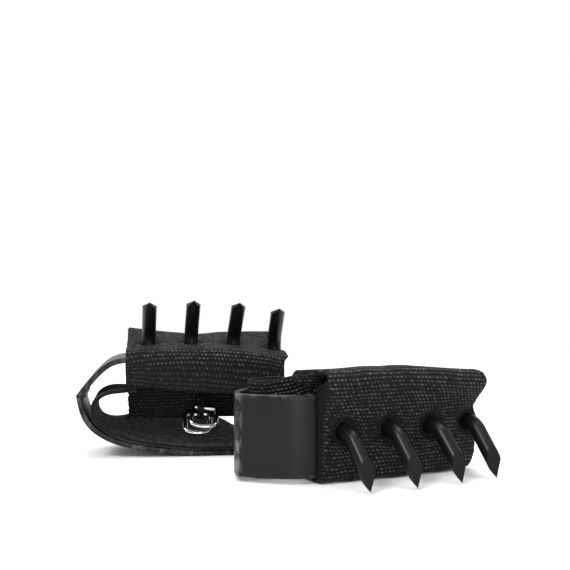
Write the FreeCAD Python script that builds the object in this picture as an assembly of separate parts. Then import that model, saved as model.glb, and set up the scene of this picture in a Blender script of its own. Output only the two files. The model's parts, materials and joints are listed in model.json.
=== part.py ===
import FreeCAD, Part

import math
import os

# A pair of like steel-and-webbing hand claws, set down side by side. Each grip is a steel band bent
# into a closed loop round the hand, with four claws welded to its palm run, a webbing sleeve over
# that run, a strap folded back on itself inside the loop and a heel panel that carries two D-rings.
#
# Each grip is drawn once in its own frame, in millimetres: x runs along the loop from its bare end,
# y runs across the band from the wrist side to the finger side, and z runs from the back of the
# hand to the palm. The two grips are the same drawing, but for how far their bare ends reach.

# Steel band
BAND_WIDTH = 31.75
BAND_THICKNESS = 2.4
CORNER = (1.5, 27.5)
LOOP_END_X = 92.5
FLAT_START_X = 56.0
FLAT_END_X = 80.0
ARCH_MIDDLE = 50.0
ARCH_CROWN = 45.3
ARCH_FALL = 0.0023

# How much further each grip's bare end reaches than the corner above, and where that begins.
# The strap inside it reaches most of that way too.
LEFT_BARE_EXTRA = 1.0
RIGHT_BARE_EXTRA = 6.0
BARE_FROM_X = 26.0
BARE_GROWTH = 1.3
STRAP_SHARE = 0.95

# Weld bead inside the corner: its middle lies this far inside, and it stops short of both edges
SEAM_RADIUS = 1.25
SEAM_INSIDE = 2.9
SEAM_SHORT = 0.8

# Claws, bent from round bar
BAR_RADIUS = 3.175
CLAW_COUNT = 4
CLAW_FIRST_X = 31.5
CLAW_PITCH = 19.4
CLAW_Y = 18.0
SHANK = 5.0
BEND_RADIUS = 9.0
BEND_ANGLE = 45.0
CLAW_LEANS = (2.0, 2.0, 4.0, 0.0)
TAIL = 20.4
POINT_ANGLE = 31.0
POINT_SIDE_ANGLE = 28.0
WELD_RADIUS = 4.7
WELD_HEIGHT = 1.6

# Webbing
WEB_WIDTH = 44.5
WEB_THICKNESS = 2.0
WEB_LOW_Y = -2.1
WEB_HIGH_Y = WEB_LOW_Y + WEB_WIDTH
STRAP_WIDTH = 38.1
SLEEVE_START_X = 22.0
SLEEVE_END_X = 94.7
FINGER_FLARE = 1.0
SLEEVE_LIP_Z = 29.6
SLEEVE_UNDER_Z = 33.2
SLEEVE_SWEEP = 16.0
CLEARANCE = 0.3

# Heel panel and its tab
PANEL_START_X = 23.0
PANEL_END_X = 84.0
PANEL_Y = 15.0
PANEL_LOW_Z = 15.0
PANEL_HIGH_Z = 29.2
TAB_X = 55.0
TAB_WIDTH = 3.2
TAB_WALL = 1.3

# D-rings, bent from round wire
WIRE_RADIUS = 1.1
RING_HALF_WIDTH = 5.5
RING_DEPTH = 10.1
RING_BAR_CORNER = 1.6
RING_BOW_RADIUS = 12.0
RING_BOW_CORNER = 2.0
RING_SLANT = 46.0
LOWER_BAR = (53.6, 12.2, 16.8)
UPPER_BAR = (57.1, 9.6, 20.0)
LOWER_TILT = 0.0
UPPER_TILT = 9.0
BORE_CLEARANCE = 0.08

# Thread
THREAD_RADIUS = 0.35
STITCH_LENGTH = 2.6
STITCH_PITCH = 3.6
STITCH_INSET = 3.2
THREAD_LIFT = 0.12
TACK_RISE = 3.8

# Where the two grips are set down: position of the frame, and its turn about the vertical
LEFT_GRIP_AT = (-86.020, 5.852, 0.0)
LEFT_GRIP_TURN = 8.0
RIGHT_GRIP_AT = (-20.620, -11.848, -WEB_LOW_Y)
RIGHT_GRIP_TURN = 23.7

V = FreeCAD.Vector

# Headings of the band as it leaves its corner along the palm run, and comes back to it
CORNER_LEAVING = V(0.62, 0, 0.79)
CORNER_ARRIVING = V(-0.2, 0, 0.98)
BESIDE_SAMPLES = 24


def line(a, b):
    return Part.makeLine(a, b)


def arc(a, b, c):
    return Part.Arc(a, b, c).toShape()


def curve(points, start, end):
    """A smooth curve through points, with its directions at both ends."""
    spline = Part.BSplineCurve()
    spline.interpolate(Points=points, InitialTangent=start, FinalTangent=end)
    return spline.toShape()


def right_normal(direction):
    """Unit vector to the right of a heading in the xz plane, with z upwards on the page."""
    return V(direction.z, 0, -direction.x).normalize()


def beside(edge, distance, first=None, last=None):
    """The curve that runs beside an edge at a distance to its right. first and last replace its
    end points, where it meets a neighbour at a corner."""
    low, high = edge.ParameterRange
    points = []
    for i in range(BESIDE_SAMPLES + 1):
        at = low + (high - low) * i / BESIDE_SAMPLES
        points.append(edge.valueAt(at) + right_normal(edge.tangentAt(at)) * distance)
    if first:
        points[0] = first
    if last:
        points[-1] = last
    return curve(points, edge.tangentAt(low), edge.tangentAt(high))


def top_height(x):
    """Height of the band's outer face along the palm run, a shallow arch."""
    return ARCH_CROWN - ARCH_FALL * (x - ARCH_MIDDLE) ** 2


def reach(points, extra):
    """Points of the loop once its bare end is drawn out by a length. The palm's side stays."""
    drawn = []
    for x, z in points:
        share = max(BARE_FROM_X - x, 0) / (BARE_FROM_X - CORNER[0])
        drawn.append((x - extra * share ** BARE_GROWTH, z))
    return drawn


def loop_curves(y, extra):
    """Outer face of the band, seen along the loop's axis: a D with one sharp corner."""
    shoulder = [(9.3, 37.3), (13.6, 41.2), (18.2, 43.3)]
    palm = [(x, top_height(x)) for x in (26.0, 50.0, 74.0)]
    far_end = [(86.0, 39.4), (91.4, 32.0), (LOOP_END_X, 21.5), (90.4, 9.5), (85.6, 2.6)]
    back = [(40.4, 1.3), (26.1, 3.6), (17.6, 6.0), (11.2, 9.3), (6.1, 14.0), (3.1, 20.0)]
    palm_run = [CORNER] + shoulder + palm + far_end + [(FLAT_END_X, 0.0)]
    back_run = [(FLAT_START_X, 0.0)] + back + [CORNER]
    upper = curve([V(x, y, z) for x, z in reach(palm_run, extra)], CORNER_LEAVING, V(-1, 0, 0))
    lower = curve([V(x, y, z) for x, z in reach(back_run, extra)], V(-1, 0, 0), CORNER_ARRIVING)
    return upper, lower


def loop_face(inward, y, extra):
    """The area inside the band's outer face, moved inward by a distance, or outward below zero."""
    upper, lower = loop_curves(y, extra)
    towards = right_normal(CORNER_LEAVING) + right_normal(CORNER_ARRIVING)
    half_turn = CORNER_LEAVING.getAngle(CORNER_ARRIVING) / 2
    corner = V(CORNER[0] - extra, y, CORNER[1]) + towards.normalize() * (inward / math.cos(half_turn))
    if inward:
        upper = beside(upper, inward, first=corner)
        lower = beside(lower, inward, last=corner)
    flat = line(upper.valueAt(upper.LastParameter), lower.valueAt(lower.FirstParameter))
    return Part.Face(Part.Wire([upper, flat, lower]))


def loop_ring(outward, inward, low_y, high_y, extra):
    """A ring that reaches outward and inward from the band's outer face."""
    across = V(0, high_y - low_y, 0)
    outer = loop_face(-outward, low_y, extra).extrude(across)
    inner = loop_face(inward, low_y - 1, extra).extrude(across + V(0, 2, 0))
    return outer.cut(inner)


def one_solid(shape):
    """The largest solid of a shape."""
    return max(shape.Solids, key=lambda solid: solid.Volume)


def hand_band(extra):
    """Flat steel strip bent into a closed loop."""
    return one_solid(loop_ring(0.0, BAND_THICKNESS, 0.0, BAND_WIDTH, extra))


def seam_weld(band, extra):
    """A flat bead inside the corner, where the strip's two ends meet."""
    inner = V(CORNER[0] - extra + SEAM_INSIDE, SEAM_SHORT, CORNER[1] - 0.1)
    bead = Part.makeCylinder(SEAM_RADIUS, BAND_WIDTH - 2 * SEAM_SHORT, inner, V(0, 1, 0))
    return one_solid(bead.cut(band))


def claw_stations():
    return [CLAW_FIRST_X + CLAW_PITCH * i for i in range(CLAW_COUNT)]


def bar_path(x):
    """Centre line of a claw: up out of the band, round a bend, and on towards the wrist side."""
    foot = V(x, CLAW_Y, top_height(x) - 0.4)
    knee = foot + V(0, 0, SHANK + 0.4)
    turn = math.radians(BEND_ANGLE)

    def on_bend(angle):
        return knee + V(0, -BEND_RADIUS * (1 - math.cos(angle)), BEND_RADIUS * math.sin(angle))

    start = on_bend(turn)
    heading = V(0, -math.sin(turn), math.cos(turn))
    tip = start + heading * TAIL
    edges = [line(foot, knee), arc(knee, on_bend(turn / 2), start), line(start, tip)]
    return Part.Wire(edges), foot, tip, heading


def wedge(at, normal, reach=30.0):
    """A big block with one face through a point, lying on the side its normal points to."""
    turn = FreeCAD.Rotation(V(0, 0, 1), normal)
    block = Part.makeBox(2 * reach, 2 * reach, reach, V(-reach, -reach, 0))
    block.Placement = FreeCAD.Placement(at, turn)
    return block


def claw(x, lean_x, band):
    """Round bar ground on its outer side to a long flat, then from both sides to a point. It
    stands a little off upright along the loop."""
    path, foot, tip, heading = bar_path(x)
    ring = Part.Wire(Part.makeCircle(BAR_RADIUS, foot, V(0, 0, 1)))
    bar = path.makePipeShell([ring], True, False)
    bar = Part.Solid(bar) if bar.ShapeType != "Solid" else bar
    inward = V(0, -heading.z, heading.y)
    point = tip + inward * BAR_RADIUS
    lean = math.radians(POINT_ANGLE)
    flat = inward * (-math.cos(lean)) + heading * math.sin(lean)
    bar = bar.cut(wedge(point, flat))
    side = math.radians(POINT_SIDE_ANGLE)
    for hand in (-1, 1):
        facet = V(hand * math.cos(side), 0, 0) + heading * math.sin(side)
        bar = bar.cut(wedge(point, facet))
    bar.rotate(foot, V(0, 1, 0), lean_x)
    return one_solid(bar.cut(band))


def claw_weld(x, band, bar):
    """The fillet of weld round one claw's foot."""
    foot = V(x, CLAW_Y, top_height(x) - 0.4)
    cone = Part.makeCone(WELD_RADIUS, BAR_RADIUS + 0.4, WELD_HEIGHT + 0.4, foot, V(0, 0, 1))
    return one_solid(cone.cut(band).cut(bar))


def sleeve_crown(top):
    """The sleeve's upper face in section: it climbs towards the finger side."""
    low, high = WEB_LOW_Y, WEB_HIGH_Y
    return [
        (low + 2.6, top + 2.6),
        (CLAW_Y, top + 4.6),
        (high - 8.0, top + 7.4),
        (high - 1.6, top + 6.6),
    ]


def sleeve_section():
    """Section of the sleeve across the band at the crown of its arch. The wrist side hangs down
    in a deep fold, and the finger side stands up above the band."""
    top = ARCH_CROWN
    lip = SLEEVE_LIP_Z
    low, high = WEB_LOW_Y, WEB_HIGH_Y
    corners = [(low + 1.2, lip), (low, lip + 1.4), (low, top + 0.2)]
    corners += sleeve_crown(top)
    corners += [
        (high, top + 4.4),
        (high, top - 4.6),
        (high - 2.0, top - 6.4),
        (22.0, top - 6.6),
        (17.6, SLEEVE_UNDER_Z),
        (6.6, SLEEVE_UNDER_Z),
        (5.2, lip),
    ]
    points = [V(ARCH_MIDDLE, y, z) for y, z in corners]
    return Part.Face(Part.makePolygon(points + points[:1]))


def palm_sleeve(extra):
    """The folded webbing over the palm run, with the band's slot and the claws' holes. It follows
    the arch of the band, and its far end flares towards the finger side."""
    radius = 1 / (2 * ARCH_FALL)
    centre = V(ARCH_MIDDLE, 0, ARCH_CROWN - radius)
    section = sleeve_section().rotate(centre, V(0, 1, 0), -SLEEVE_SWEEP)
    sleeve = section.revolve(centre, V(0, 1, 0), 2 * SLEEVE_SWEEP)
    low, high = WEB_LOW_Y - 1, WEB_HIGH_Y + 1
    plan = [
        V(SLEEVE_START_X, low, 0),
        V(SLEEVE_END_X, low, 0),
        V(SLEEVE_END_X, 0, 0),
        V(SLEEVE_END_X + FINGER_FLARE, high, 0),
        V(SLEEVE_START_X, high, 0),
    ]
    limits = Part.Face(Part.makePolygon(plan + plan[:1])).extrude(V(0, 0, 2 * ARCH_CROWN))
    sleeve = sleeve.common(limits)
    wide = BAND_WIDTH + CLEARANCE
    slot = loop_ring(CLEARANCE, BAND_THICKNESS + CLEARANCE, -CLEARANCE, wide, extra)
    sleeve = sleeve.cut(slot)
    for x, lean_x in zip(claw_stations(), CLAW_LEANS):
        path, foot = bar_path(x)[:2]
        ring = Part.Wire(Part.makeCircle(BAR_RADIUS + CLEARANCE, foot, V(0, 0, 1)))
        hole = path.makePipeShell([ring], True, False)
        hole.rotate(foot, V(0, 1, 0), lean_x)
        well = Part.makeCylinder(WELD_RADIUS + CLEARANCE, WELD_HEIGHT + 0.7, foot, V(0, 0, 1))
        sleeve = sleeve.cut(hole).cut(well)
    return one_solid(sleeve)


def strap_loop(extra):
    """Webbing that lines the back run, turns over inside the bare end and comes back to the
    sleeve, as an O seen along the loop's axis."""
    lining = [(82.0, 3.9), (70.0, 3.9), (56.0, 3.95), (40.4, 5.2), (27.0, 7.5)]
    turn = [(18.6, 10.2), (12.1, 13.6), (8.4, 18.4), (8.8, 24.2), (13.6, 28.3), (21.6, 29.4)]
    points = [V(x, WEB_LOW_Y, z) for x, z in reach(lining + turn, extra * STRAP_SHARE)]
    centre = curve(points, V(-1, 0, 0), V(1, 0, 0.03))
    sides = [beside(centre, side * WEB_THICKNESS / 2) for side in (-1, 1)]
    starts = [side.valueAt(side.FirstParameter) for side in sides]
    ends = [side.valueAt(side.LastParameter) for side in sides]
    wire = Part.Wire(Part.__sortEdges__(sides + [line(*starts), line(*ends)]))
    return one_solid(Part.Face(wire).extrude(V(0, STRAP_WIDTH, 0)))


def heel_panel():
    """The short panel that hangs from the sleeve inside the wrist side of the loop."""
    length = PANEL_END_X - PANEL_START_X
    height = PANEL_HIGH_Z - PANEL_LOW_Z
    panel = Part.makeBox(length, WEB_THICKNESS, height, V(PANEL_START_X, PANEL_Y, PANEL_LOW_Z))
    long_edges = [e for e in panel.Edges if abs(e.BoundBox.XLength - length) < 1e-6]
    return one_solid(panel.makeFillet(0.8, long_edges))


def ring_down():
    """Heading of a ring's plane away from its bar: out to the wrist side and down."""
    slant = math.radians(RING_SLANT)
    return V(0, -math.cos(slant), -math.sin(slant))


def ring_along(tilt):
    """Heading of a ring's bar, which may lie a little askew in the ring's plane."""
    turn = math.radians(tilt)
    return V(math.cos(turn), 0, 0) + ring_down() * math.sin(turn)


def ring_tab():
    """The narrow folded tape that holds both D-rings' straight sides against the heel panel."""
    wall = WIRE_RADIUS + TAB_WALL
    start = TAB_X - TAB_WIDTH / 2

    def block(bar):
        x, y, z = bar
        round_end = Part.makeCylinder(wall, TAB_WIDTH, V(start, y, z), V(1, 0, 0))
        root = Part.makeBox(TAB_WIDTH, PANEL_Y - y, 2 * wall, V(start, y, z - wall))
        return round_end.fuse(root)

    tab = block(LOWER_BAR).fuse(block(UPPER_BAR)).removeSplitter()
    reach = 3 * TAB_WIDTH
    for bar, tilt in ((LOWER_BAR, LOWER_TILT), (UPPER_BAR, UPPER_TILT)):
        along = ring_along(tilt)
        bore = WIRE_RADIUS + BORE_CLEARANCE
        tab = tab.cut(Part.makeCylinder(bore, 2 * reach, V(*bar) - along * reach, along))
    return one_solid(tab)


def d_ring(bar, tilt):
    """A wire D: its straight side lies in the tab, and its shallow bow hangs out from the wrist."""
    centre = V(*bar)
    along = ring_along(tilt)
    turn = math.radians(tilt)
    out = ring_down() * math.cos(turn) - V(math.sin(turn), 0, 0)

    def at(across, down):
        return centre + along * across + out * down

    half, corner = RING_HALF_WIDTH, RING_BAR_CORNER
    soft = corner * (1 - math.sqrt(0.5))
    bow, small = RING_BOW_RADIUS, RING_BOW_CORNER
    bow_down = RING_DEPTH - bow
    turn_across = half - small
    rise = math.sqrt((bow - small) ** 2 - turn_across ** 2)
    meet = math.atan2(rise, turn_across)
    turn_down = bow_down + rise

    def on_turn(side, angle):
        across = turn_across + small * math.cos(angle)
        return at(side * across, turn_down + small * math.sin(angle))

    edges = [
        line(at(-half + corner, 0), at(half - corner, 0)),
        arc(at(half - corner, 0), at(half - soft, soft), at(half, corner)),
        line(at(half, corner), on_turn(1, 0)),
        arc(on_turn(1, 0), on_turn(1, meet / 2), on_turn(1, meet)),
        arc(on_turn(1, meet), at(0, RING_DEPTH), on_turn(-1, meet)),
        arc(on_turn(-1, meet), on_turn(-1, meet / 2), on_turn(-1, 0)),
        line(on_turn(-1, 0), at(-half, corner)),
        arc(at(-half, corner), at(-half + soft, soft), at(-half + corner, 0)),
    ]
    section = Part.Wire(Part.makeCircle(WIRE_RADIUS, at(-half + corner, 0), along))
    ring = Part.Wire(edges).makePipeShell([section], True, False)
    return one_solid(ring if ring.Solids else Part.Compound([Part.Solid(ring)]))


def stitch(at, along):
    """One stitch: a short rod of thread lying on the cloth."""
    return Part.makeCylinder(THREAD_RADIUS, STITCH_LENGTH, at - along * (STITCH_LENGTH / 2), along)


def sleeve_top(y, top):
    """Height of the sleeve's upper face, between the corners of its section."""
    corners = sleeve_crown(top)
    for (y0, z0), (y1, z1) in zip(corners, corners[1:]):
        if y0 <= y <= y1:
            return z0 + (z1 - z0) * (y - y0) / (y1 - y0)
    return top


def sleeve_stitching():
    """The row of stitches across the sleeve, just inside its bare end."""
    x = SLEEVE_START_X + STITCH_INSET
    top = top_height(x)
    rows = []
    y = WEB_LOW_Y + 2 * STITCH_PITCH
    while y < WEB_HIGH_Y - 2 * STITCH_PITCH:
        low, high = [V(x, v, sleeve_top(v, top)) for v in (y - 1, y + 1)]
        along = (high - low).normalize()
        middle = (low + high) * 0.5 + V(0, 0, THREAD_RADIUS + THREAD_LIFT)
        rows.append(stitch(middle, along))
        y += STITCH_PITCH
    return Part.Compound(rows)


def tab_stitching():
    """The upright bar tacks that fasten the tab beside its D-rings to the heel panel."""
    y = PANEL_Y - THREAD_RADIUS - THREAD_LIFT
    rows = []
    for side in (-1, 1):
        for i in range(3):
            x = TAB_X + side * (TAB_WIDTH / 2 + 1.0 + 1.1 * i)
            rows.append(stitch(V(x, y, UPPER_BAR[2] + TACK_RISE), V(0, 0, 1)))
    return Part.Compound(rows)


def grip_pieces(extra):
    """Every piece of one grip in the grip's own frame, by name."""
    band = hand_band(extra)
    bars = [claw(x, lean_x, band) for x, lean_x in zip(claw_stations(), CLAW_LEANS)]
    pieces = {"hand_band": band, "seam_weld": seam_weld(band, extra)}
    for i, bar in enumerate(bars):
        pieces[f"claw_{i + 1}"] = bar
    welds = [claw_weld(x, band, bar) for x, bar in zip(claw_stations(), bars)]
    pieces["claw_welds"] = Part.Compound(welds)
    pieces["palm_sleeve"] = palm_sleeve(extra)
    pieces["sleeve_stitching"] = sleeve_stitching()
    pieces["strap_loop"] = strap_loop(extra)
    pieces["heel_panel"] = heel_panel()
    pieces["ring_tab"] = ring_tab()
    pieces["tab_stitching"] = tab_stitching()
    pieces["d_ring_lower"] = d_ring(LOWER_BAR, LOWER_TILT)
    pieces["d_ring_upper"] = d_ring(UPPER_BAR, UPPER_TILT)
    return pieces


def placements():
    """The left grip lies on its back run. The right grip stands on its wrist side."""
    upright = FreeCAD.Rotation(V(0, 0, 1), RIGHT_GRIP_TURN)
    upright = upright.multiply(FreeCAD.Rotation(V(1, 0, 0), 90))
    flat = FreeCAD.Rotation(V(0, 0, 1), LEFT_GRIP_TURN)
    return {
        "left": FreeCAD.Placement(V(*LEFT_GRIP_AT), flat),
        "right": FreeCAD.Placement(V(*RIGHT_GRIP_AT), upright),
    }


def main():
    os.makedirs("parts", exist_ok=True)
    extras = {"left": LEFT_BARE_EXTRA, "right": RIGHT_BARE_EXTRA}
    for side, placement in placements().items():
        for name, piece in grip_pieces(extras[side]).items():
            placed = piece.copy()
            placed.Placement = placement.multiply(piece.Placement)
            placed.exportStep(f"parts/{side}_{name}.step")


main()
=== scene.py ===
import json
import math

import bpy
import numpy as np
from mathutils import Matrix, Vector

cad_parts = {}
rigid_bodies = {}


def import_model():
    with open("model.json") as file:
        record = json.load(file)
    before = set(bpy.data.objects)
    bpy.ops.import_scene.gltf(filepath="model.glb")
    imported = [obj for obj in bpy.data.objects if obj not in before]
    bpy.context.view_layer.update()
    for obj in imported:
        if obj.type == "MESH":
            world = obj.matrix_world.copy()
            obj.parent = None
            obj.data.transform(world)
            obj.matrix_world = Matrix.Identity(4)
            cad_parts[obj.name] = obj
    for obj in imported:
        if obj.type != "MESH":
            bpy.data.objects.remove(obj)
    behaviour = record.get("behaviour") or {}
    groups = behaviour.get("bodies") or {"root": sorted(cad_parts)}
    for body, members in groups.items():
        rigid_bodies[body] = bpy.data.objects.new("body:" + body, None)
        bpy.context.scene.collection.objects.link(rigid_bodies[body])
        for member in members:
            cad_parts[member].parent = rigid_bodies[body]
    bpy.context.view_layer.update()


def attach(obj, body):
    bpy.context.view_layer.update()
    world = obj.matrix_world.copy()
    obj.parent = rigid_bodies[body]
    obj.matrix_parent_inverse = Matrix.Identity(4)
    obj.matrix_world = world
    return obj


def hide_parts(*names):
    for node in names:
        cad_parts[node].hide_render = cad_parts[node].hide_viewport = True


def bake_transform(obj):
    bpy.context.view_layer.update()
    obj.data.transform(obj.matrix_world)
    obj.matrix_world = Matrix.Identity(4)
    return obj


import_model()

MM = 0.001

# Everything down to the stage is in each grip's own frame in millimetres: x along the loop from
# its bare end, y from the wrist side to the finger side, z from the back of the hand to the palm.

# Steel band: its section, the loop's sharp corner with the headings either side of it, and the
# arch of the palm run's outer face.
BAND_WIDTH, BAND_THICKNESS, BAND_EDGE_RADIUS = 31.75, 2.4, 0.5
CORNER = (1.5, 27.5)
CORNER_LEAVING, CORNER_ARRIVING = (0.62, 0.79), (-0.2, 0.98)
ARCH_MIDDLE, ARCH_CROWN, ARCH_FALL = 50.0, 45.3, 0.0023

# How far each grip's bare end is drawn out, from which x, and how much of it the strap follows.
BARE_EXTRA = {"left": 1.0, "right": 6.0}
BARE_FROM_X, BARE_GROWTH, STRAP_SHARE = 26.0, 1.3, 0.95

# Each claw's place, and the cloth round it: the hole's middle radius, and how far out the weave
# is pushed aside to make room for it.
CLAW_X = [31.5 + 19.4 * i for i in range(4)]
CLAW_Y = 18.0
HOLE_RADIUS, PUSHED_RADIUS, GATHER_RADIUS, CUT_RADIUS = 3.5, 3.45, 8.0, 1.3

# Webbing: thicknesses, the weave's row and bead pitch, the depth of its relief, and how many
# millimetres and rows its pattern is moved on.
WEB_THICKNESS, PANEL_THICKNESS, TAPE_THICKNESS = 1.9, 1.8, 0.9
ROW_PITCH, BEAD_PITCH = 1.5, 1.75
WEAVE_DEPTH, FINE_WEAVE_DEPTH = 0.26, 0.12
PATTERN_SHIFT = 100

# Sleeve: where it starts and its inner layer ends, its length, how far back its under layer
# reaches on the finger side, and how much of its edge turns down to the band.
SLEEVE_START_X, SLEEVE_INNER_END_X, SLEEVE_LENGTH = 22.0, 80.0, 73.0
SLEEVE_UNDER_BACK = {"left": 0.5, "right": 9.5}
SLEEVE_TURNED_DOWN = {"left": 0.0, "right": 1.0}

# Strap: its lower edge, its width, how far its finger side stands off the band, and the width
# beside the lower edge that doesn't.
STRAP_LOW_Y, STRAP_WIDTH, STRAP_SLACK, STRAP_HELD_WIDTH = -2.1, 38.1, 9.0, 10.0

# Heel panel, and the ring tab and bar tacks on it.
PANEL_START_X, PANEL_Y, PANEL_TOP_Z = 22.6, 16.0, 39.0
PANEL_LENGTH, PANEL_DROP = 61.0, 24.0
TAB_START_X, TAB_WIDTH, TACK_MIDDLE_X = 53.4, 3.2, 55.4

# The stage, in metres in the row frame.
FLOOR_HALF = 0.65
CAMERA_AT, CAMERA_LENS = (0.00538, -0.390649, 0.0757), 57.69

# Each grip's origin in millimetres, its turn about the upright in degrees, and whether it stands
# on its wrist side.
GRIPS = {
    "left": ((-86.020, 5.852, 0.0), 8.0, False),
    "right": ((-20.620, -11.848, 2.1), 23.7, True),
}


def frame_axes(side):
    """A grip's origin, and its x, y and z directions in the row frame."""
    origin, turn, upright = GRIPS[side]
    c, s = math.cos(math.radians(turn)), math.sin(math.radians(turn))
    if upright:
        return np.array(origin), np.array([(c, s, 0), (0, 0, 1), (s, -c, 0)])
    return np.array(origin), np.array([(c, s, 0), (-s, c, 0), (0, 0, 1)])


def to_row(side, points):
    """Points of a grip's own frame, in millimetres, in the row frame, in metres."""
    origin, axes = frame_axes(side)
    return (np.asarray(points, float) @ axes + origin) * MM


def spline(points, start, end, count):
    """Points, headings and runs of the clamped cubic through points, evenly spaced."""
    p = np.array(points, float)
    step = np.linalg.norm(np.diff(p, axis=0), axis=1)
    n = len(p)
    a = np.zeros((n, n))
    b = np.zeros_like(p)
    a[0, 0] = a[-1, -1] = 1
    b[0] = np.array(start) / np.linalg.norm(start)
    b[-1] = np.array(end) / np.linalg.norm(end)
    for i in range(1, n - 1):
        a[i, i - 1], a[i, i + 1] = 1 / step[i - 1], 1 / step[i]
        a[i, i] = 2 * (1 / step[i - 1] + 1 / step[i])
        b[i] = 3 * ((p[i] - p[i - 1]) / step[i - 1] ** 2 + (p[i + 1] - p[i]) / step[i] ** 2)
    slope = np.linalg.solve(a, b)
    fine = []
    for i in range(n - 1):
        t = np.linspace(0, 1, 80, endpoint=i == n - 2)[:, None]
        fine.append((1 + 2 * t) * (1 - t) ** 2 * p[i] + t * (1 - t) ** 2 * step[i] * slope[i]
                    + t ** 2 * (3 - 2 * t) * p[i + 1] + t ** 2 * (t - 1) * step[i] * slope[i + 1])
    return even(np.concatenate(fine), count)


def even(line, count):
    """A polyline resampled evenly, with its headings and the run to each point."""
    run = np.concatenate([[0], np.cumsum(np.linalg.norm(np.diff(line, axis=0), axis=1))])
    at = np.linspace(0, run[-1], count)
    points = np.stack([np.interp(at, run, line[:, k]) for k in range(line.shape[1])], 1)
    heading = np.gradient(points, axis=0)
    return points, heading / np.linalg.norm(heading, axis=1)[:, None], at


def top_height(x):
    """Height of the band's outer face over the arched palm run."""
    return ARCH_CROWN - ARCH_FALL * (x - ARCH_MIDDLE) ** 2


def reach(points, extra):
    """Points of the loop once its bare end is drawn out by a length."""
    drawn = []
    for x, z in points:
        share = max(BARE_FROM_X - x, 0) / (BARE_FROM_X - CORNER[0])
        drawn.append((x - extra * share ** BARE_GROWTH, z))
    return drawn


def smooth(value, low, high):
    """0 before low, 1 past high, and a smooth step between. low may be the larger."""
    t = np.clip((value - low) / (high - low), 0, 1)
    return t * t * (3 - 2 * t)


def noise(u, v, seed, size):
    """Smooth random heights from -1 to 1 over a surface, in patches of a size."""
    rng = np.random.default_rng(seed)
    table = rng.uniform(-1, 1, (64, 64))
    x, y = np.asarray(u) / size, np.asarray(v) / size
    i, j = np.floor(x).astype(int), np.floor(y).astype(int)
    fx, fy = x - i, y - j
    fx, fy = fx * fx * (3 - 2 * fx), fy * fy * (3 - 2 * fy)
    a, b = table[i % 64, j % 64], table[(i + 1) % 64, j % 64]
    c, d = table[i % 64, (j + 1) % 64], table[(i + 1) % 64, (j + 1) % 64]
    return (a * (1 - fx) + b * fx) * (1 - fy) + (c * (1 - fx) + d * fx) * fy


# ---------------------------------------------------------------- materials

def nodes_of(name):
    m = bpy.data.materials.new(name)
    m.use_nodes = True
    tree = m.node_tree
    return m, tree, tree.nodes["Principled BSDF"]


def link(tree, source, target):
    tree.links.new(source, target)


def texture(tree, kind, scale, **settings):
    node = tree.nodes.new(kind)
    node.inputs["Scale"].default_value = scale
    for key, value in settings.items():
        if key in node.inputs:
            node.inputs[key].default_value = value
        else:
            setattr(node, key, value)
    return node


def ramp(tree, source, stops):
    node = tree.nodes.new("ShaderNodeValToRGB")
    link(tree, source, node.inputs["Fac"])
    elements = node.color_ramp.elements
    while len(elements) < len(stops):
        elements.new(0.5)
    for element, (at, color) in zip(elements, stops):
        element.position = at
        element.color = (*color, 1) if isinstance(color, tuple) else (color, color, color, 1)
    return node.outputs["Color"]


def mix(tree, factor, a, b, kind="MIX"):
    node = tree.nodes.new("ShaderNodeMix")
    node.data_type = "RGBA"
    node.blend_type = kind
    for key, value in ((0, factor), (6, a), (7, b)):
        socket = node.inputs[key]
        if isinstance(value, bpy.types.NodeSocket):
            link(tree, value, socket)
        elif isinstance(value, tuple):
            socket.default_value = (*value, 1)
        else:
            socket.default_value = value
    return node.outputs[2]


def math_node(tree, kind, a, b=0.0):
    node = tree.nodes.new("ShaderNodeMath")
    node.operation = kind
    for socket, value in zip(node.inputs, (a, b)):
        if isinstance(value, bpy.types.NodeSocket):
            link(tree, value, socket)
        else:
            socket.default_value = value
    return node.outputs[0]


def attribute(tree, name):
    node = tree.nodes.new("ShaderNodeAttribute")
    node.attribute_name = name
    return node


def coordinates(tree, *targets):
    node = tree.nodes.new("ShaderNodeTexCoord")
    for target in targets:
        link(tree, node.outputs["Object"], target.inputs["Vector"])
    return node.outputs["Object"]


def bump(tree, shader, height, strength, distance):
    node = tree.nodes.new("ShaderNodeBump")
    node.inputs["Strength"].default_value = strength
    node.inputs["Distance"].default_value = distance
    link(tree, height, node.inputs["Height"])
    link(tree, node.outputs["Normal"], shader.inputs["Normal"])


def beads(tree):
    """Height from 0 to 1 of ribbed webbing, from the cloth's own two lengths: rows of long beads,
    each row half a bead on from the last."""
    rows = math_node(tree, "DIVIDE", attribute(tree, "across").outputs["Fac"], ROW_PITCH)
    row = math_node(tree, "FLOOR", rows)
    part = math_node(tree, "SUBTRACT", rows, row)
    ridge = math_node(tree, "SINE", math_node(tree, "MULTIPLY", part, math.pi))
    step = math_node(tree, "DIVIDE", attribute(tree, "along").outputs["Fac"], BEAD_PITCH)
    step = math_node(tree, "ADD", step, math_node(tree, "MULTIPLY", row, 0.5))
    step = math_node(tree, "ADD", step, math_node(tree, "MULTIPLY", part, 0.35))
    wave = math_node(tree, "COSINE", math_node(tree, "MULTIPLY", step, 2 * math.pi))
    bead = math_node(tree, "ADD", math_node(tree, "MULTIPLY", wave, 0.3), 0.7)
    return math_node(tree, "MULTIPLY", math_node(tree, "POWER", ridge, 1.5), bead)


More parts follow.
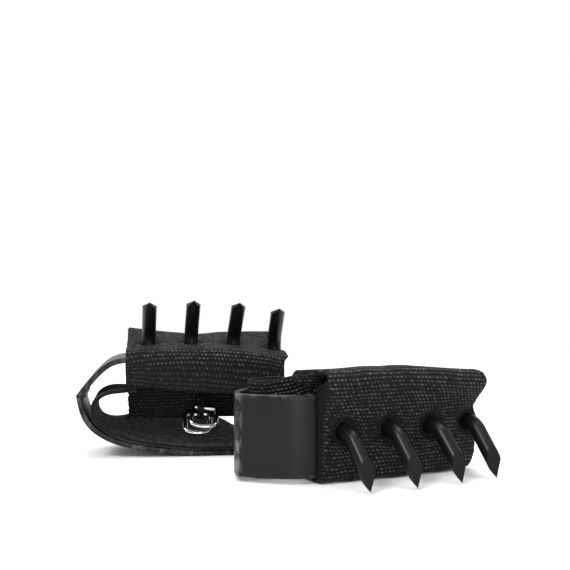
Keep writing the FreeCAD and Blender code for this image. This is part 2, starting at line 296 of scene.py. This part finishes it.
def webbing_material(name, dark, light, fleck_and_glint, woven=True):
    """Ribbed webbing: the bead crowns are lighter, partly worn and partly a painted highlight, with
    a few specks on them, partly dusty fibres and partly painted glints.
    """
    m, tree, shader = nodes_of(name)
    fine = texture(tree, "ShaderNodeTexNoise", 2600, Detail=4, Roughness=0.6)
    mid = texture(tree, "ShaderNodeTexNoise", 520, Detail=2)
    broad = texture(tree, "ShaderNodeTexNoise", 90, Detail=3)
    cells = texture(tree, "ShaderNodeTexVoronoi", 900)
    coordinates(tree, fine, mid, broad, cells)
    crown = attribute(tree, "crown").outputs["Fac"]
    high = beads(tree) if woven else crown
    # lit: how much of the light colour a point takes. It is a painted highlight on the bead crowns
    # that is partly real wear, dimmed where the crown attribute carries painted shade.
    lit = math_node(tree, "MULTIPLY", ramp(tree, high, [(0.4, 0.0), (0.88, 1.0)]), crown)
    for patches, stops in ((fine, [(0.36, 0.25), (0.66, 1.0)]),
                           (mid, [(0.42, 0.12), (0.6, 1.0)]),
                           (broad, [(0.35, 0.55), (0.7, 1.0)])):
        lit = math_node(tree, "MULTIPLY", lit, ramp(tree, patches.outputs["Fac"], stops))
    color = mix(tree, lit, dark, light)
    # Specks on the bead tops: partly dusty fibres, partly painted glints.
    spot = ramp(tree, cells.outputs["Distance"], [(0.0, 1.0), (0.22, 0.0)])
    rare = ramp(tree, fine.outputs["Fac"], [(0.55, 0.0), (0.66, 1.0)])
    spot = math_node(tree, "MULTIPLY", spot, rare)
    spot = math_node(tree, "MULTIPLY", spot, high)
    color = mix(tree, math_node(tree, "MULTIPLY", spot, 0.6), color, fleck_and_glint)
    link(tree, color, shader.inputs["Base Color"])
    rough = ramp(tree, fine.outputs["Fac"], [(0.3, 0.5), (0.7, 0.8)])
    link(tree, rough, shader.inputs["Roughness"])
    shader.inputs["Specular IOR Level"].default_value = 0.13
    shader.inputs["Sheen Weight"].default_value = 0.015
    shader.inputs["Sheen Roughness"].default_value = 0.4
    height = math_node(tree, "ADD", math_node(tree, "MULTIPLY", fine.outputs["Fac"], 0.35), high)
    bump(tree, shader, height, 0.8, 0.0005)
    return m


def steel_material(name, dark, worn, rough, streak=(1, 1, 1)):
    """Black painted steel: uneven gloss, faint mottling, and bright metal where it is scuffed."""
    m, tree, shader = nodes_of(name)
    soft = texture(tree, "ShaderNodeTexNoise", 55, Detail=5, Roughness=0.55)
    grain = texture(tree, "ShaderNodeTexNoise", 1500, Detail=3)
    scratch = texture(tree, "ShaderNodeTexNoise", 420, Detail=7, Roughness=0.75)
    place = coordinates(tree, soft, grain)
    mapping = tree.nodes.new("ShaderNodeMapping")
    mapping.inputs["Scale"].default_value = streak
    link(tree, place, mapping.inputs["Vector"])
    link(tree, mapping.outputs["Vector"], scratch.inputs["Vector"])
    shade = ramp(tree, soft.outputs["Fac"], [(0.3, 0.8), (0.7, 1.15)])
    base = mix(tree, 1.0, dark, shade, "MULTIPLY")
    wear = attribute(tree, "wear").outputs["Fac"]
    marks = ramp(tree, scratch.outputs["Fac"], [(0.46, 0.0), (0.58, 1.0)])
    scuff = math_node(tree, "MULTIPLY", wear, marks)
    color = mix(tree, math_node(tree, "MULTIPLY", scuff, 0.75), base, worn)
    link(tree, color, shader.inputs["Base Color"])
    metal = math_node(tree, "MULTIPLY", scuff, 0.4)
    link(tree, metal, shader.inputs["Metallic"])
    gloss = ramp(tree, soft.outputs["Fac"], [(0.25, rough - 0.05), (0.75, rough + 0.08)])
    gloss = mix(tree, scuff, gloss, (0.5, 0.5, 0.5))
    link(tree, gloss, shader.inputs["Roughness"])
    shader.inputs["Specular IOR Level"].default_value = 0.17
    height = math_node(tree, "ADD", grain.outputs["Fac"], math_node(tree, "MULTIPLY", scuff, 1.6))
    bump(tree, shader, height, 0.25, 0.00005)
    return m


def chrome_material():
    """Bright plated wire, with a little uneven gloss."""
    m, tree, shader = nodes_of("ring_chrome")
    soft = texture(tree, "ShaderNodeTexNoise", 500, Detail=4)
    coordinates(tree, soft)
    shader.inputs["Metallic"].default_value = 1.0
    tint = ramp(tree, soft.outputs["Fac"], [(0.35, (0.58, 0.54, 0.53)), (0.65, (0.74, 0.7, 0.68))])
    link(tree, tint, shader.inputs["Base Color"])
    gloss = ramp(tree, soft.outputs["Fac"], [(0.3, 0.07), (0.7, 0.16)])
    link(tree, gloss, shader.inputs["Roughness"])
    bump(tree, shader, soft.outputs["Fac"], 0.06, 0.0001)
    return m


# Each webbing's second colour is its bead crowns' light colour, partly wear and partly painted
# highlight; the third is the specks on them, partly dusty fibres and partly painted glints.
WEBBING = webbing_material("webbing", (0.0022, 0.0022, 0.0024),
                           (0.155, 0.148, 0.142), (0.4, 0.37, 0.34))
LINING = webbing_material("webbing_lining", (0.0022, 0.0021, 0.0019),
                          (0.21, 0.19, 0.165), (0.45, 0.4, 0.34))
STEEL = steel_material("band_steel", (0.0042, 0.0052, 0.0064), (0.24, 0.24, 0.235), 0.32,
                       streak=(1, 1, 0.3))
CLAW = steel_material("claw_steel", (0.004, 0.004, 0.0037), (0.1, 0.095, 0.085), 0.32)
WELD = steel_material("weld_steel", (0.012, 0.012, 0.0125), (0.12, 0.12, 0.12), 0.45)
PANEL = webbing_material("webbing_panel", (0.0022, 0.0022, 0.0026),
                         (0.075, 0.073, 0.075), (0.2, 0.19, 0.18))
THREAD = webbing_material("thread", (0.006, 0.006, 0.0065),
                          (0.03, 0.03, 0.031), (0.07, 0.07, 0.07), woven=False)
CHROME = chrome_material()


# ---------------------------------------------------------------- meshes

def mesh_piece(name, points, faces, material, attributes=()):
    """A smooth-shaded mesh object, with named values at its points for its material."""
    data = bpy.data.meshes.new(name)
    data.from_pydata([tuple(p) for p in points], [], faces)
    data.polygons.foreach_set("use_smooth", [True] * len(data.polygons))
    for key, values in attributes:
        layer = data.attributes.new(key, "FLOAT", "POINT")
        layer.data.foreach_set("value", np.asarray(values, np.float32))
    data.materials.append(material)
    data.update()
    piece = bpy.data.objects.new(name, data)
    bpy.context.collection.objects.link(piece)
    return piece


def grid_faces(m, n, base, flip):
    """Quads of an m by n grid of points that starts at a base index."""
    i, j = np.meshgrid(np.arange(m - 1), np.arange(n - 1), indexing="ij")
    a = base + i * n + j
    quads = np.stack([a, a + n, a + n + 1, a + 1], -1).reshape(-1, 4)
    return quads[:, ::-1] if flip else quads


def surface_normals(mid):
    """Unit normals of a grid of points."""
    along, across = np.gradient(mid, axis=0), np.gradient(mid, axis=1)
    n = np.cross(along, across)
    return n / np.maximum(np.linalg.norm(n, axis=2), 1e-9)[..., None]


def relief(u, v, seed):
    """Height from 0 to 1 of ribbed webbing, and the cloth's two lengths, a little uneven and moved
    on so that none is negative."""
    u = u + 0.45 * noise(u, v, seed, 7.0)
    v = v + 0.25 * noise(u, v, seed + 1, 6.0)
    row = np.floor(v / ROW_PITCH)
    ridge = np.abs(np.sin(math.pi * v / ROW_PITCH))
    step = u / BEAD_PITCH + 0.5 * row + 0.35 * (v / ROW_PITCH - row)
    bead = 0.64 + 0.36 * np.cos(2 * math.pi * step)
    return ridge * bead, u + PATTERN_SHIFT, v + PATTERN_SHIFT * ROW_PITCH


def cloth(name, side, mid, u, v, thick, material, seed, depth=WEAVE_DEPTH, hole=None, shade=1.0):
    """A closed sheet of webbing with rounded edges round its middle surface. hole says which grid
    cells are cut out, and shade (painted shade) how much of the crowns' light colour, partly wear
    and partly painted highlight, a point takes."""
    m, n = u.shape
    normal = surface_normals(mid)
    half = thick / 2
    edge = np.minimum.reduce([u - u.min(), u.max() - u, v - v.min(), v.max() - v])
    taper = np.sqrt(np.clip(1 - (1 - np.clip(edge / half, 0, 1)) ** 2, 0.02, 1))
    high, u_out, v_out = relief(u, v, seed)
    low, u_in, v_in = relief(u + 0.5 * BEAD_PITCH, v, seed + 5)
    outer = mid + normal * ((half - depth + depth * high) * taper)[..., None]
    inner = mid - normal * ((half - depth + depth * low) * taper)[..., None]
    points = np.concatenate([outer.reshape(-1, 3), inner.reshape(-1, 3)])
    crown, along, across = [np.concatenate([a.ravel(), b.ravel()]) for a, b in (
        (taper * shade, taper * shade), (u_out, u_in), (v_out, v_in))]
    count = m * n
    top, bottom = grid_faces(m, n, 0, False), grid_faces(m, n, count, True)
    rim = np.concatenate([np.arange(n), np.arange(1, m) * n + n - 1,
                          (m - 1) * n + np.arange(n - 2, -1, -1), np.arange(m - 2, 0, -1) * n])
    nxt = np.roll(rim, -1)
    walls = [np.stack([rim, nxt, nxt + count, rim + count], 1)]
    keep = np.ones(len(top), bool)
    if hole is not None:
        keep = ~hole.ravel()
        walls.append(hole_walls(hole, n, count))
    faces = np.concatenate([top[keep], bottom[keep]] + walls)
    lengths = [("crown", crown), ("along", along), ("across", across)]
    return mesh_piece(name, to_row(side, points), faces.tolist(), material, lengths)


def hole_walls(hole, n, count):
    """Quads that join a sheet's two faces round the grid cells taken out of it."""
    walls = []
    for i, j in zip(*np.nonzero(hole)):
        a, b, c, d = i * n + j, (i + 1) * n + j, (i + 1) * n + j + 1, i * n + j + 1
        if not hole[i, j - 1]:
            walls.append((b, a, a + count, b + count))
        if not hole[i + 1, j]:
            walls.append((c, b, b + count, c + count))
        if not hole[i, j + 1]:
            walls.append((d, c, c + count, d + count))
        if not hole[i - 1, j]:
            walls.append((a, d, d + count, a + count))
    return np.array(walls)


# ---------------------------------------------------------------- steel band

def loop_line(count, extra):
    """The band's outer face as one run, from the corner along the palm and back to the corner."""
    shoulder = [(9.3, 37.3), (13.6, 41.2), (18.2, 43.3)]
    palm = [(x, top_height(x)) for x in (26.0, 50.0, 74.0)]
    far_end = [(86.0, 39.4), (91.4, 32.0), (92.5, 21.5), (90.4, 9.5), (85.6, 2.6), (80.0, 0.0)]
    back = [(40.4, 1.3), (26.1, 3.6), (17.6, 6.0), (11.2, 9.3), (6.1, 14.0), (3.1, 20.0)]
    palm_run = reach([CORNER] + shoulder + palm + far_end, extra)
    back_run = reach([(56.0, 0.0)] + back + [CORNER], extra)
    upper = spline(palm_run, CORNER_LEAVING, (-1, 0), 600)[0]
    lower = spline(back_run, (-1, 0), CORNER_ARRIVING, 400)[0]
    return even(np.concatenate([upper, lower]), count)


def band_section():
    """The strip's section as (y, depth from its outer face), with rounded edges and dense flats."""
    r = BAND_EDGE_RADIUS
    outline = []
    for centre_y, centre_d, first_angle in (
            (r, r, 180), (BAND_WIDTH - r, r, 270),
            (BAND_WIDTH - r, BAND_THICKNESS - r, 0), (r, BAND_THICKNESS - r, 90)):
        for k in range(5):
            a = math.radians(first_angle + 22.5 * k)
            outline.append((centre_y + r * math.cos(a), centre_d + r * math.sin(a)))
    section = []
    for a, b in zip(outline, outline[1:] + outline[:1]):
        parts = 24 if abs(a[0] - b[0]) > 5 else 1
        section += [(a[0] + (b[0] - a[0]) * k / parts, a[1] + (b[1] - a[1]) * k / parts)
                    for k in range(parts)]
    return np.array(section)


def hand_band(side):
    """Flat strip with rolled edges, swept round the loop and mitred at the corner."""
    line, heading, run = loop_line(900, BARE_EXTRA[side])
    inward = np.stack([heading[:, 1], -heading[:, 0]], 1)
    leave = np.array(CORNER_LEAVING) / np.linalg.norm(CORNER_LEAVING)
    arrive = np.array(CORNER_ARRIVING) / np.linalg.norm(CORNER_ARRIVING)
    first, last = np.array([leave[1], -leave[0]]), np.array([arrive[1], -arrive[0]])
    middle = (first + last) / np.linalg.norm(first + last)
    mitre = middle / float(middle @ first)
    inward[0] = mitre
    inward[-1] = mitre
    section = band_section()
    m, n = len(line), len(section)
    y, d = np.tile(section[:, 0], (m, 1)), np.tile(section[:, 1], (m, 1))
    x = line[:, None, 0] + inward[:, None, 0] * d
    z = line[:, None, 1] + inward[:, None, 1] * d
    flat = (y > BAND_EDGE_RADIUS) & (y < BAND_WIDTH - BAND_EDGE_RADIUS)
    wave = 0.05 * noise(run[:, None] + 0 * y, y, 11, 7.0) * np.where(flat, 1, 0.3)
    x, z = x + wave * inward[:, None, 0], z + wave * inward[:, None, 1]
    points = np.stack([x, y, z], -1).reshape(-1, 3)
    i, j = np.meshgrid(np.arange(m - 1), np.arange(n), indexing="ij")
    a, b = i * n + j, i * n + (j + 1) % n
    faces = np.stack([a, b, b + n, a + n], -1).reshape(-1, 4).tolist()
    faces += [list(range(n))[::-1], list(range((m - 1) * n, m * n))]
    near = np.minimum(run, run[-1] - run)
    wear = np.clip(0.95 - near / 3.6, 0, 1)[:, None] + 0 * y
    rim = np.clip(1 - np.minimum.reduce([y, BAND_WIDTH - y]) / 1.1, 0, 1)
    wear = np.maximum(wear, 0.55 * rim * (0.5 + 0.5 * noise(run[:, None] + 0 * y, y, 5, 4.0)))
    piece = mesh_piece(f"{side}_band_skin", to_row(side, points), faces, STEEL,
                       [("wear", wear.ravel())])
    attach(piece, f"{side}_grip")
    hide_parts(f"{side}_hand_band")


# ---------------------------------------------------------------- webbing

def sleeve_profile():
    """Middle line of the sleeve's folded section at the crown of the arch, as (y, z). It starts
    under the band, hangs in a deep fold at the wrist side and stands up at the finger side."""
    under = [(33.5, 39.9), (30.0, 41.3), (18.0, 41.5), (9.0, 41.3), (4.6, 38.6), (2.6, 35.2)]
    wrist_fold = [(1.2, 33.8), (-0.5, 34.3), (-1.12, 36.4), (-1.12, 40.5), (-1.1, 44.4),
                  (-0.2, 46.4)]
    over = [(2.4, 47.3), (9.0, 48.1), (CLAW_Y, 49.0), (27.0, 50.2), (34.0, 51.4), (38.4, 51.4)]
    finger_fold = [(40.7, 50.0), (41.3, 46.6), (41.0, 42.8), (39.0, 40.4), (35.6, 39.2)]
    return spline(under + wrist_fold + over + finger_fold, (-1, 0.4), (-1, 0.2), 330)


def sleeve_end_x(y):
    """Where the sleeve's far cut edge lies, which wanders a little."""
    at = [(-2.1, 91.4), (0.5, 93.0), (5.0, 94.6), (12.0, 94.7), (18.0, 93.4),
          (24.0, 92.6), (31.0, 94.0), (37.0, 94.4), (40.0, 94.0), (42.4, 93.0)]
    return np.interp(y, [a for a, _ in at], [b for _, b in at])


def sleeve_drop(x):
    """How far the sleeve falls from the arch's crown. It stands off the band at its bare end."""
    return ARCH_FALL * (x - ARCH_MIDDLE) ** 2 * np.where(np.asarray(x) < ARCH_MIDDLE, 0.3, 1.0)


def sleeve_middle(side, seed, profile, run, count):
    """The sleeve's middle surface before it swells and is gathered round the claws, and how much
    of each point belongs to the edge that turns down to the band."""
    t = np.linspace(0, 1, count)[:, None]
    y = np.tile(profile[:, 0], (count, 1))
    z = np.tile(profile[:, 1], (count, 1))
    start = SLEEVE_START_X + 0.25 * noise(run, run * 0, seed, 5.0)[None, :]
    back = smooth(profile[:, 0], 33.0, 38.0) * smooth(profile[:, 1], 48.0, 43.0)
    start = start - SLEEVE_UNDER_BACK[side] * back[None, :]
    end = sleeve_end_x(profile[:, 0])[None, :] + 0.12 * noise(run, run * 0, seed + 1, 9.0)[None, :]
    within = smooth(profile[:, 0], -0.9, 1.5) * smooth(profile[:, 0], 34.0, 31.8)
    within = within * smooth(profile[:, 1], 43.5, 42.0)
    end = end + (SLEEVE_INNER_END_X - end) * within[None, :]
    x = start + (end - start) * t
    outer = smooth(z, 43.0, 46.0)
    drop = sleeve_drop(x) * outer + ARCH_FALL * (x - ARCH_MIDDLE) ** 2 * (1 - outer)
    edge = smooth(y, 23.0, 39.0)
    fold = smooth(z, 43.5, 36.0) * smooth(y, 16.0, 6.0)
    z = z - drop
    z = z + edge * 4.0 * np.clip(np.abs(x - 54.0) / 32.0, 0, 1.2) ** 1.4
    z = z + fold * (drop - 1.8 - 0.083 * (x - SLEEVE_START_X))
    y = y - smooth(y, 26.0, 41.0) * 3.0 * smooth(x, 52.0, 96.0)
    turned = smooth(x - start, 2.0, 0.3) * smooth(np.tile(profile[:, 1], (count, 1)), 45.0, 47.0)
    turned = turned * smooth(y, 0.0, 2.5) * smooth(y, 38.0, 34.0) * SLEEVE_TURNED_DOWN[side]
    z = z - turned * (z - top_height(x) - 1.7)
    return np.stack([x, y, z], -1), turned


def gather(mid, cx, palm):
    """Dips the cloth round one claw and pushes its weave aside, and cuts the hole's round edge.
    Returns the grid cells cut out, and each point's distance from the claw before the push."""
    dx, dy = mid[..., 0] - cx, mid[..., 1] - CLAW_Y
    r = np.hypot(dx, dy)
    dip = 0.9 * np.exp(-np.clip(r - 3.2, 0, None) ** 2 / 5.0)
    mid[..., 2] -= np.where(palm, dip, 0)
    centre = (r[:-1, :-1] + r[1:, :-1] + r[:-1, 1:] + r[1:, 1:]) / 4
    cells = (centre < CUT_RADIUS) & palm[:-1, :-1]
    pushed = PUSHED_RADIUS + r * (GATHER_RADIUS - PUSHED_RADIUS) / GATHER_RADIUS
    push = np.where(palm & (r < GATHER_RADIUS), np.maximum(pushed, 0) / np.maximum(r, 1e-3), 1)
    mid[..., 0] = cx + dx * push
    mid[..., 1] = CLAW_Y + dy * push
    m, n = r.shape
    rim = np.zeros((m, n), bool)
    for i, j in ((0, 0), (1, 0), (0, 1), (1, 1)):
        rim[i:m - 1 + i, j:n - 1 + j] |= cells
    dx, dy = mid[..., 0] - cx, mid[..., 1] - CLAW_Y
    out = np.maximum(np.hypot(dx, dy), 1e-3)
    mid[..., 0] = np.where(rim, cx + dx * HOLE_RADIUS / out, mid[..., 0])
    mid[..., 1] = np.where(rim, CLAW_Y + dy * HOLE_RADIUS / out, mid[..., 1])
    return cells, r


def palm_sleeve(side):
    """Wide webbing folded over the palm run, with a hole drawn tight round each claw."""
    seed = {"left": 20, "right": 60}[side]
    profile, _, run = sleeve_profile()
    m, n = 195, len(profile)
    mid, turned = sleeve_middle(side, seed, profile, run, m)
    x, y, z = mid[..., 0], mid[..., 1], mid[..., 2]
    palm = (y > -0.5) & (z > ARCH_CROWN - 5.5) & (run[None, :] > 40)
    # Painted shade: low on the wrist-side fold, the crowns lose most of their light colour.
    shade = 1 - 0.6 * smooth(z, 44.0, 38.0) * smooth(y, 8.0, 2.0)
    # Painted shade: the edge turned down to the band loses all of the crowns' light colour, so it
    # reads as a black strip.
    shade = shade * smooth(turned, 0.2, 0.0)
    swell = 0.35 * noise(x, y + z, seed + 3, 13.0) + 0.12 * noise(x, y + z, seed + 4, 5.0)
    mid = mid + surface_normals(mid) * (swell - 0.1)[..., None]
    hole = np.zeros((m - 1, n - 1), bool)
    for cx in CLAW_X:
        cells, r = gather(mid, cx, palm)
        hole |= cells
        # Painted shade: the cloth round each claw's root loses the crowns' light colour.
        shade = shade * np.where(palm, smooth(r, 1.5, 5.0), 1)
    u = np.tile(SLEEVE_LENGTH * np.linspace(0, 1, m)[:, None], (1, n))
    v = np.tile(run[None, :], (m, 1))
    piece = cloth(f"{side}_sleeve_cloth", side, mid, u, v, WEB_THICKNESS, WEBBING, seed,
                  hole=hole, shade=shade)
    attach(piece, f"{side}_grip")
    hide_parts(f"{side}_palm_sleeve")


def strap_loop(side):
    """The lining of the back run, turned over inside the bare end and back into the sleeve."""
    seed = {"left": 120, "right": 160}[side]
    lining = [(82.0, 3.95), (70.0, 3.95), (56.0, 4.0), (40.4, 5.3), (27.0, 7.6)]
    turn = [(18.6, 10.3), (12.1, 13.7), (8.5, 18.4), (8.9, 24.2), (13.6, 28.3), (21.6, 29.4),
            (27.0, 30.2)]
    drawn = reach(lining + turn, BARE_EXTRA[side] * STRAP_SHARE)
    line, heading, run = spline(drawn, (-1, 0), (1, 0.1), 360)
    m, n = len(line), 116
    v = np.tile(np.linspace(0, STRAP_WIDTH, n), (m, 1))
    u = np.tile(run[:, None], (1, n))
    left_turn = np.stack([-heading[:, 1], heading[:, 0]], 1)
    past = np.clip((run - 84) / (run[-1] - 84), 0, 1)[:, None]
    y = STRAP_LOW_Y + v + 3.2 * past ** 2
    sag = -3.0 * past ** 1.5 * (v / STRAP_WIDTH)
    loose = (smooth(run, 76.0, 46.0) * smooth(run, 1.0, 22.0))[:, None]
    free = np.clip(v - STRAP_HELD_WIDTH, 0, None) / (STRAP_WIDTH - STRAP_HELD_WIDTH)
    slack = STRAP_SLACK * loose * free ** 1.3
    ripple = 0.25 * noise(u, v, seed + 9, 9.0)
    x = line[:, None, 0] + ripple * left_turn[:, None, 0]
    z = line[:, None, 1] + ripple * left_turn[:, None, 1] * np.clip(past * 5, 0, 1) + sag + slack
    y = y + 0.25 * noise(u, 0 * u, seed + 4, 3.0) * (v > STRAP_WIDTH - 1.1)
    y = y + 0.2 * noise(u, 0 * u, seed + 5, 3.0) * (v < 1)
    mid = np.stack([x, y, z], -1)
    piece = cloth(f"{side}_strap_cloth", side, mid, u, v, WEB_THICKNESS, LINING, seed)
    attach(piece, f"{side}_grip")
    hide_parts(f"{side}_strap_loop")


def heel_panel(side):
    """Flap that hangs from the sleeve inside the loop and bends at its sewn top edge."""
    seed = {"left": 220, "right": 260}[side]
    m, n = 158, 75
    u = np.tile(np.linspace(0, PANEL_LENGTH, m)[:, None], (1, n))
    v = np.tile(np.linspace(0, PANEL_DROP, n), (m, 1))
    x = PANEL_START_X + u
    z = PANEL_TOP_Z - v - ARCH_FALL * (x - ARCH_MIDDLE) ** 2 * np.clip(1 - v / PANEL_DROP, 0, 1)
    y = PANEL_Y + 0.3 * noise(u, v, seed, 12.0)
    x = x + 0.35 * noise(v, 0 * v, seed + 2, 1.6) * (u < 0.4)
    mid = np.stack([x, y, z], -1)
    piece = cloth(f"{side}_heel_cloth", side, mid, u, v, PANEL_THICKNESS, PANEL, seed,
                  depth=FINE_WEAVE_DEPTH)
    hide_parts(f"{side}_heel_panel")
    frays = fray_threads(side, seed)
    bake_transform(piece)


def rod(a, b, radius, sides=6):
    """Points and faces of a short tapered thread from a to b."""
    a, b = np.array(a, float), np.array(b, float)
    along = (b - a) / np.linalg.norm(b - a)
    other = np.cross(along, (0.3, 0.5, 0.81))
    other /= np.linalg.norm(other)
    third = np.cross(along, other)
    ring = [other * math.cos(2 * math.pi * k / sides) + third * math.sin(2 * math.pi * k / sides)
            for k in range(sides)]
    points = [a + r * radius for r in ring] + [b + r * radius * 0.6 for r in ring]
    faces = [[k, (k + 1) % sides, sides + (k + 1) % sides, sides + k] for k in range(sides)]
    return points, faces + [list(range(sides))[::-1], list(range(sides, 2 * sides))]


def join_rods(rods):
    """Several rods' points and faces as one list of each."""
    points, faces = [], []
    for p, f in rods:
        faces += [[k + len(points) for k in face] for face in f]
        points += p
    return points, faces


def fray_threads(side, seed):
    """Loose thread ends at the heel panel's cut end."""
    rng = np.random.default_rng(seed)
    rods = []
    for k in range(18):
        z = 15.2 + 12.0 * rng.random() ** 1.6
        start = (23.2, PANEL_Y + rng.uniform(-0.7, 0.7), z)
        length = rng.uniform(0.5, 1.7) + (0.9 if z < 19 else 0)
        end = (start[0] - length, start[1] + rng.uniform(-0.5, 0.5), z + rng.uniform(-0.6, 0.5))
        rods.append(rod(start, end, 0.16))
    piece = thread_piece(f"{side}_heel_frays", side, rods, 0.8)
    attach(piece, f"{side}_heel")
    return piece


def ring_tab(side):
    """Narrow tape folded round both D-rings' straight sides and sewn to the heel panel."""
    seed = {"left": 320, "right": 360}[side]
    line = [(14.6, 25.4), (13.0, 23.9), (11.2, 22.2), (9.4, 21.7), (7.9, 20.3), (8.4, 18.7),
            (10.0, 18.2), (11.2, 18.5), (10.5, 17.4), (10.7, 16.0), (11.7, 15.2), (13.2, 15.2),
            (14.6, 15.9)]
    path, _, run = spline(line, (-1, -1), (1, -0.3), 90)
    m, n = len(path), 16
    u = np.tile(run[:, None], (1, n))
    v = np.tile(np.linspace(0, TAB_WIDTH, n), (m, 1))
    mid = np.stack([TAB_START_X + v, np.tile(path[:, :1], (1, n)), np.tile(path[:, 1:], (1, n))],
                   -1)
    piece = cloth(f"{side}_tab_cloth", side, mid, u, v, TAPE_THICKNESS, WEBBING, seed,
                  depth=FINE_WEAVE_DEPTH)
    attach(piece, f"{side}_heel")
    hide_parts(f"{side}_ring_tab")


def thread_piece(name, side, rods, crown):
    """Rods of thread as one piece."""
    points, faces = join_rods(rods)
    return mesh_piece(name, to_row(side, points), faces, THREAD,
                      [("crown", np.full(len(points), crown))])


def sleeve_thread(side):
    """A row of stitches across the sleeve near its bare end."""
    stitch, pitch, lift = 2.4, 3.5, 0.95
    profile, _, run = sleeve_profile()
    x = SLEEVE_START_X + 3.2
    drop = sleeve_drop(x)
    use = (profile[:, 1] > 46.9) & (profile[:, 0] > 2) & (profile[:, 0] < 38)
    line, at = profile[use], run[use]
    rods = []
    s = at[0] + 1
    while s + stitch + 0.2 < at[-1]:
        a, b = [[x, np.interp(w, at, line[:, 0]), np.interp(w, at, line[:, 1]) - drop + lift]
                for w in (s, s + stitch)]
        rods.append(rod(a, b, 0.3))
        s += pitch
    piece = thread_piece(f"{side}_sleeve_thread", side, rods, 0.6)
    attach(piece, f"{side}_grip")
    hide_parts(f"{side}_sleeve_stitching")


def tab_thread(side):
    """Three upright bar tacks each side of the ring tab."""
    y, bottom, pitch, lean, across, up = PANEL_Y - 1.25, 18.6, 0.55, 0.12, 0.55, 0.4
    rods = []
    for hand in (-1, 1):
        for k in range(3):
            x = TACK_MIDDLE_X + hand * (3.4 + 1.5 * k)
            rods += [rod((x + lean * i, y, bottom + pitch * i),
                         (x + across + lean * i, y, bottom + up + pitch * i), 0.28)
                     for i in range(7)]
    piece = thread_piece(f"{side}_tab_thread", side, rods, 0.9)
    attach(piece, f"{side}_heel")
    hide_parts(f"{side}_tab_stitching")


def dress_cad_nodes():
    """Gives the CAD nodes that are shown as drawn their finishes."""
    finishes = (("_claw_welds", WELD), ("_seam_weld", WELD), ("_claw_", CLAW), ("_d_ring_", CHROME))
    for piece in list(bpy.data.objects):
        if piece.type != "MESH" or piece.hide_render:
            continue
        for word, material in finishes:
            if word in piece.name:
                for place in range(len(piece.data.materials)):
                    piece.data.materials[place] = material
                break


# ---------------------------------------------------------------- stage

def area_light(name, at, aim, size, power, color=(1, 1, 1), size_y=None):
    """A soft light at a place, turned towards its aim. It is a strip where size_y is given."""
    data = bpy.data.lights.new(name, "AREA")
    data.shape = "RECTANGLE" if size_y else "SQUARE"
    data.size = size
    if size_y:
        data.size_y = size_y
    data.energy = power
    data.color = color
    lamp = bpy.data.objects.new(name, data)
    lamp.location = at
    lamp.rotation_euler = (Vector(aim) - Vector(at)).to_track_quat("-Z", "Y").to_euler()
    bpy.context.collection.objects.link(lamp)


def set_floor():
    data = bpy.data.meshes.new("floor")
    corners = [(FLOOR_HALF * x, FLOOR_HALF * y, 0) for x, y in ((-1, -1), (1, -1), (1, 1), (-1, 1))]
    data.from_pydata(corners, [], [(0, 1, 2, 3)])
    floor = bpy.data.objects.new("floor", data)
    bpy.context.collection.objects.link(floor)
    m, tree, shader = nodes_of("floor")
    shader.inputs["Base Color"].default_value = (0.86, 0.86, 0.86, 1)
    shader.inputs["Roughness"].default_value = 0.75
    data.materials.append(m)


def set_world():
    """A white background, which as a light is dimmer from the front."""
    world = bpy.data.worlds.new("studio")
    bpy.context.scene.world = world
    world.use_nodes = True
    tree = world.node_tree
    around = tree.nodes.new("ShaderNodeTexCoord")
    split = tree.nodes.new("ShaderNodeSeparateXYZ")
    link(tree, around.outputs["Generated"], split.inputs[0])
    behind = ramp(tree, split.outputs["Y"], [(0.0, 0.42), (0.55, 1.0)])
    seen = tree.nodes.new("ShaderNodeLightPath").outputs["Is Camera Ray"]
    link(tree, mix(tree, seen, behind, (1.0, 1.0, 1.0)), tree.nodes["Background"].inputs["Color"])


def set_lights():
    area_light("key", (-0.5, -0.55, 0.8), (0, 0, 0.03), 0.4, 10.0, (1.0, 0.97, 0.93))
    area_light("fill", (0.8, -0.4, 0.5), (0, 0, 0.03), 0.5, 2.5, (0.93, 0.96, 1.0))
    area_light("top", (0.0, 0.15, 0.95), (0, 0, 0.0), 0.7, 10.0)
    area_light("cool_strip", (0.03, -0.72, 0.1), (0, -0.04, 0.03), 0.05, 0.7, (0.4, 0.68, 1.0), 0.4)
    area_light("warm_strip", (0.2, -0.72, 0.1), (0, -0.04, 0.03), 0.13, 2.0, (1.0, 0.95, 0.84), 0.4)


def set_camera():
    camera_data = bpy.data.cameras.new("camera")
    camera_data.sensor_width = 36.0
    camera_data.lens = CAMERA_LENS
    camera_data.clip_start = 0.01
    camera = bpy.data.objects.new("camera", camera_data)
    camera.location = CAMERA_AT
    camera.rotation_euler = (math.radians(90), 0, 0)
    bpy.context.collection.objects.link(camera)
    bpy.context.scene.camera = camera


for grip in GRIPS:
    hand_band(grip)
    palm_sleeve(grip)
    strap_loop(grip)
    heel_panel(grip)
    ring_tab(grip)
    sleeve_thread(grip)
    tab_thread(grip)
dress_cad_nodes()
bpy.context.scene.view_settings.view_transform = "Standard"
set_floor()
set_world()
set_lights()
set_camera()
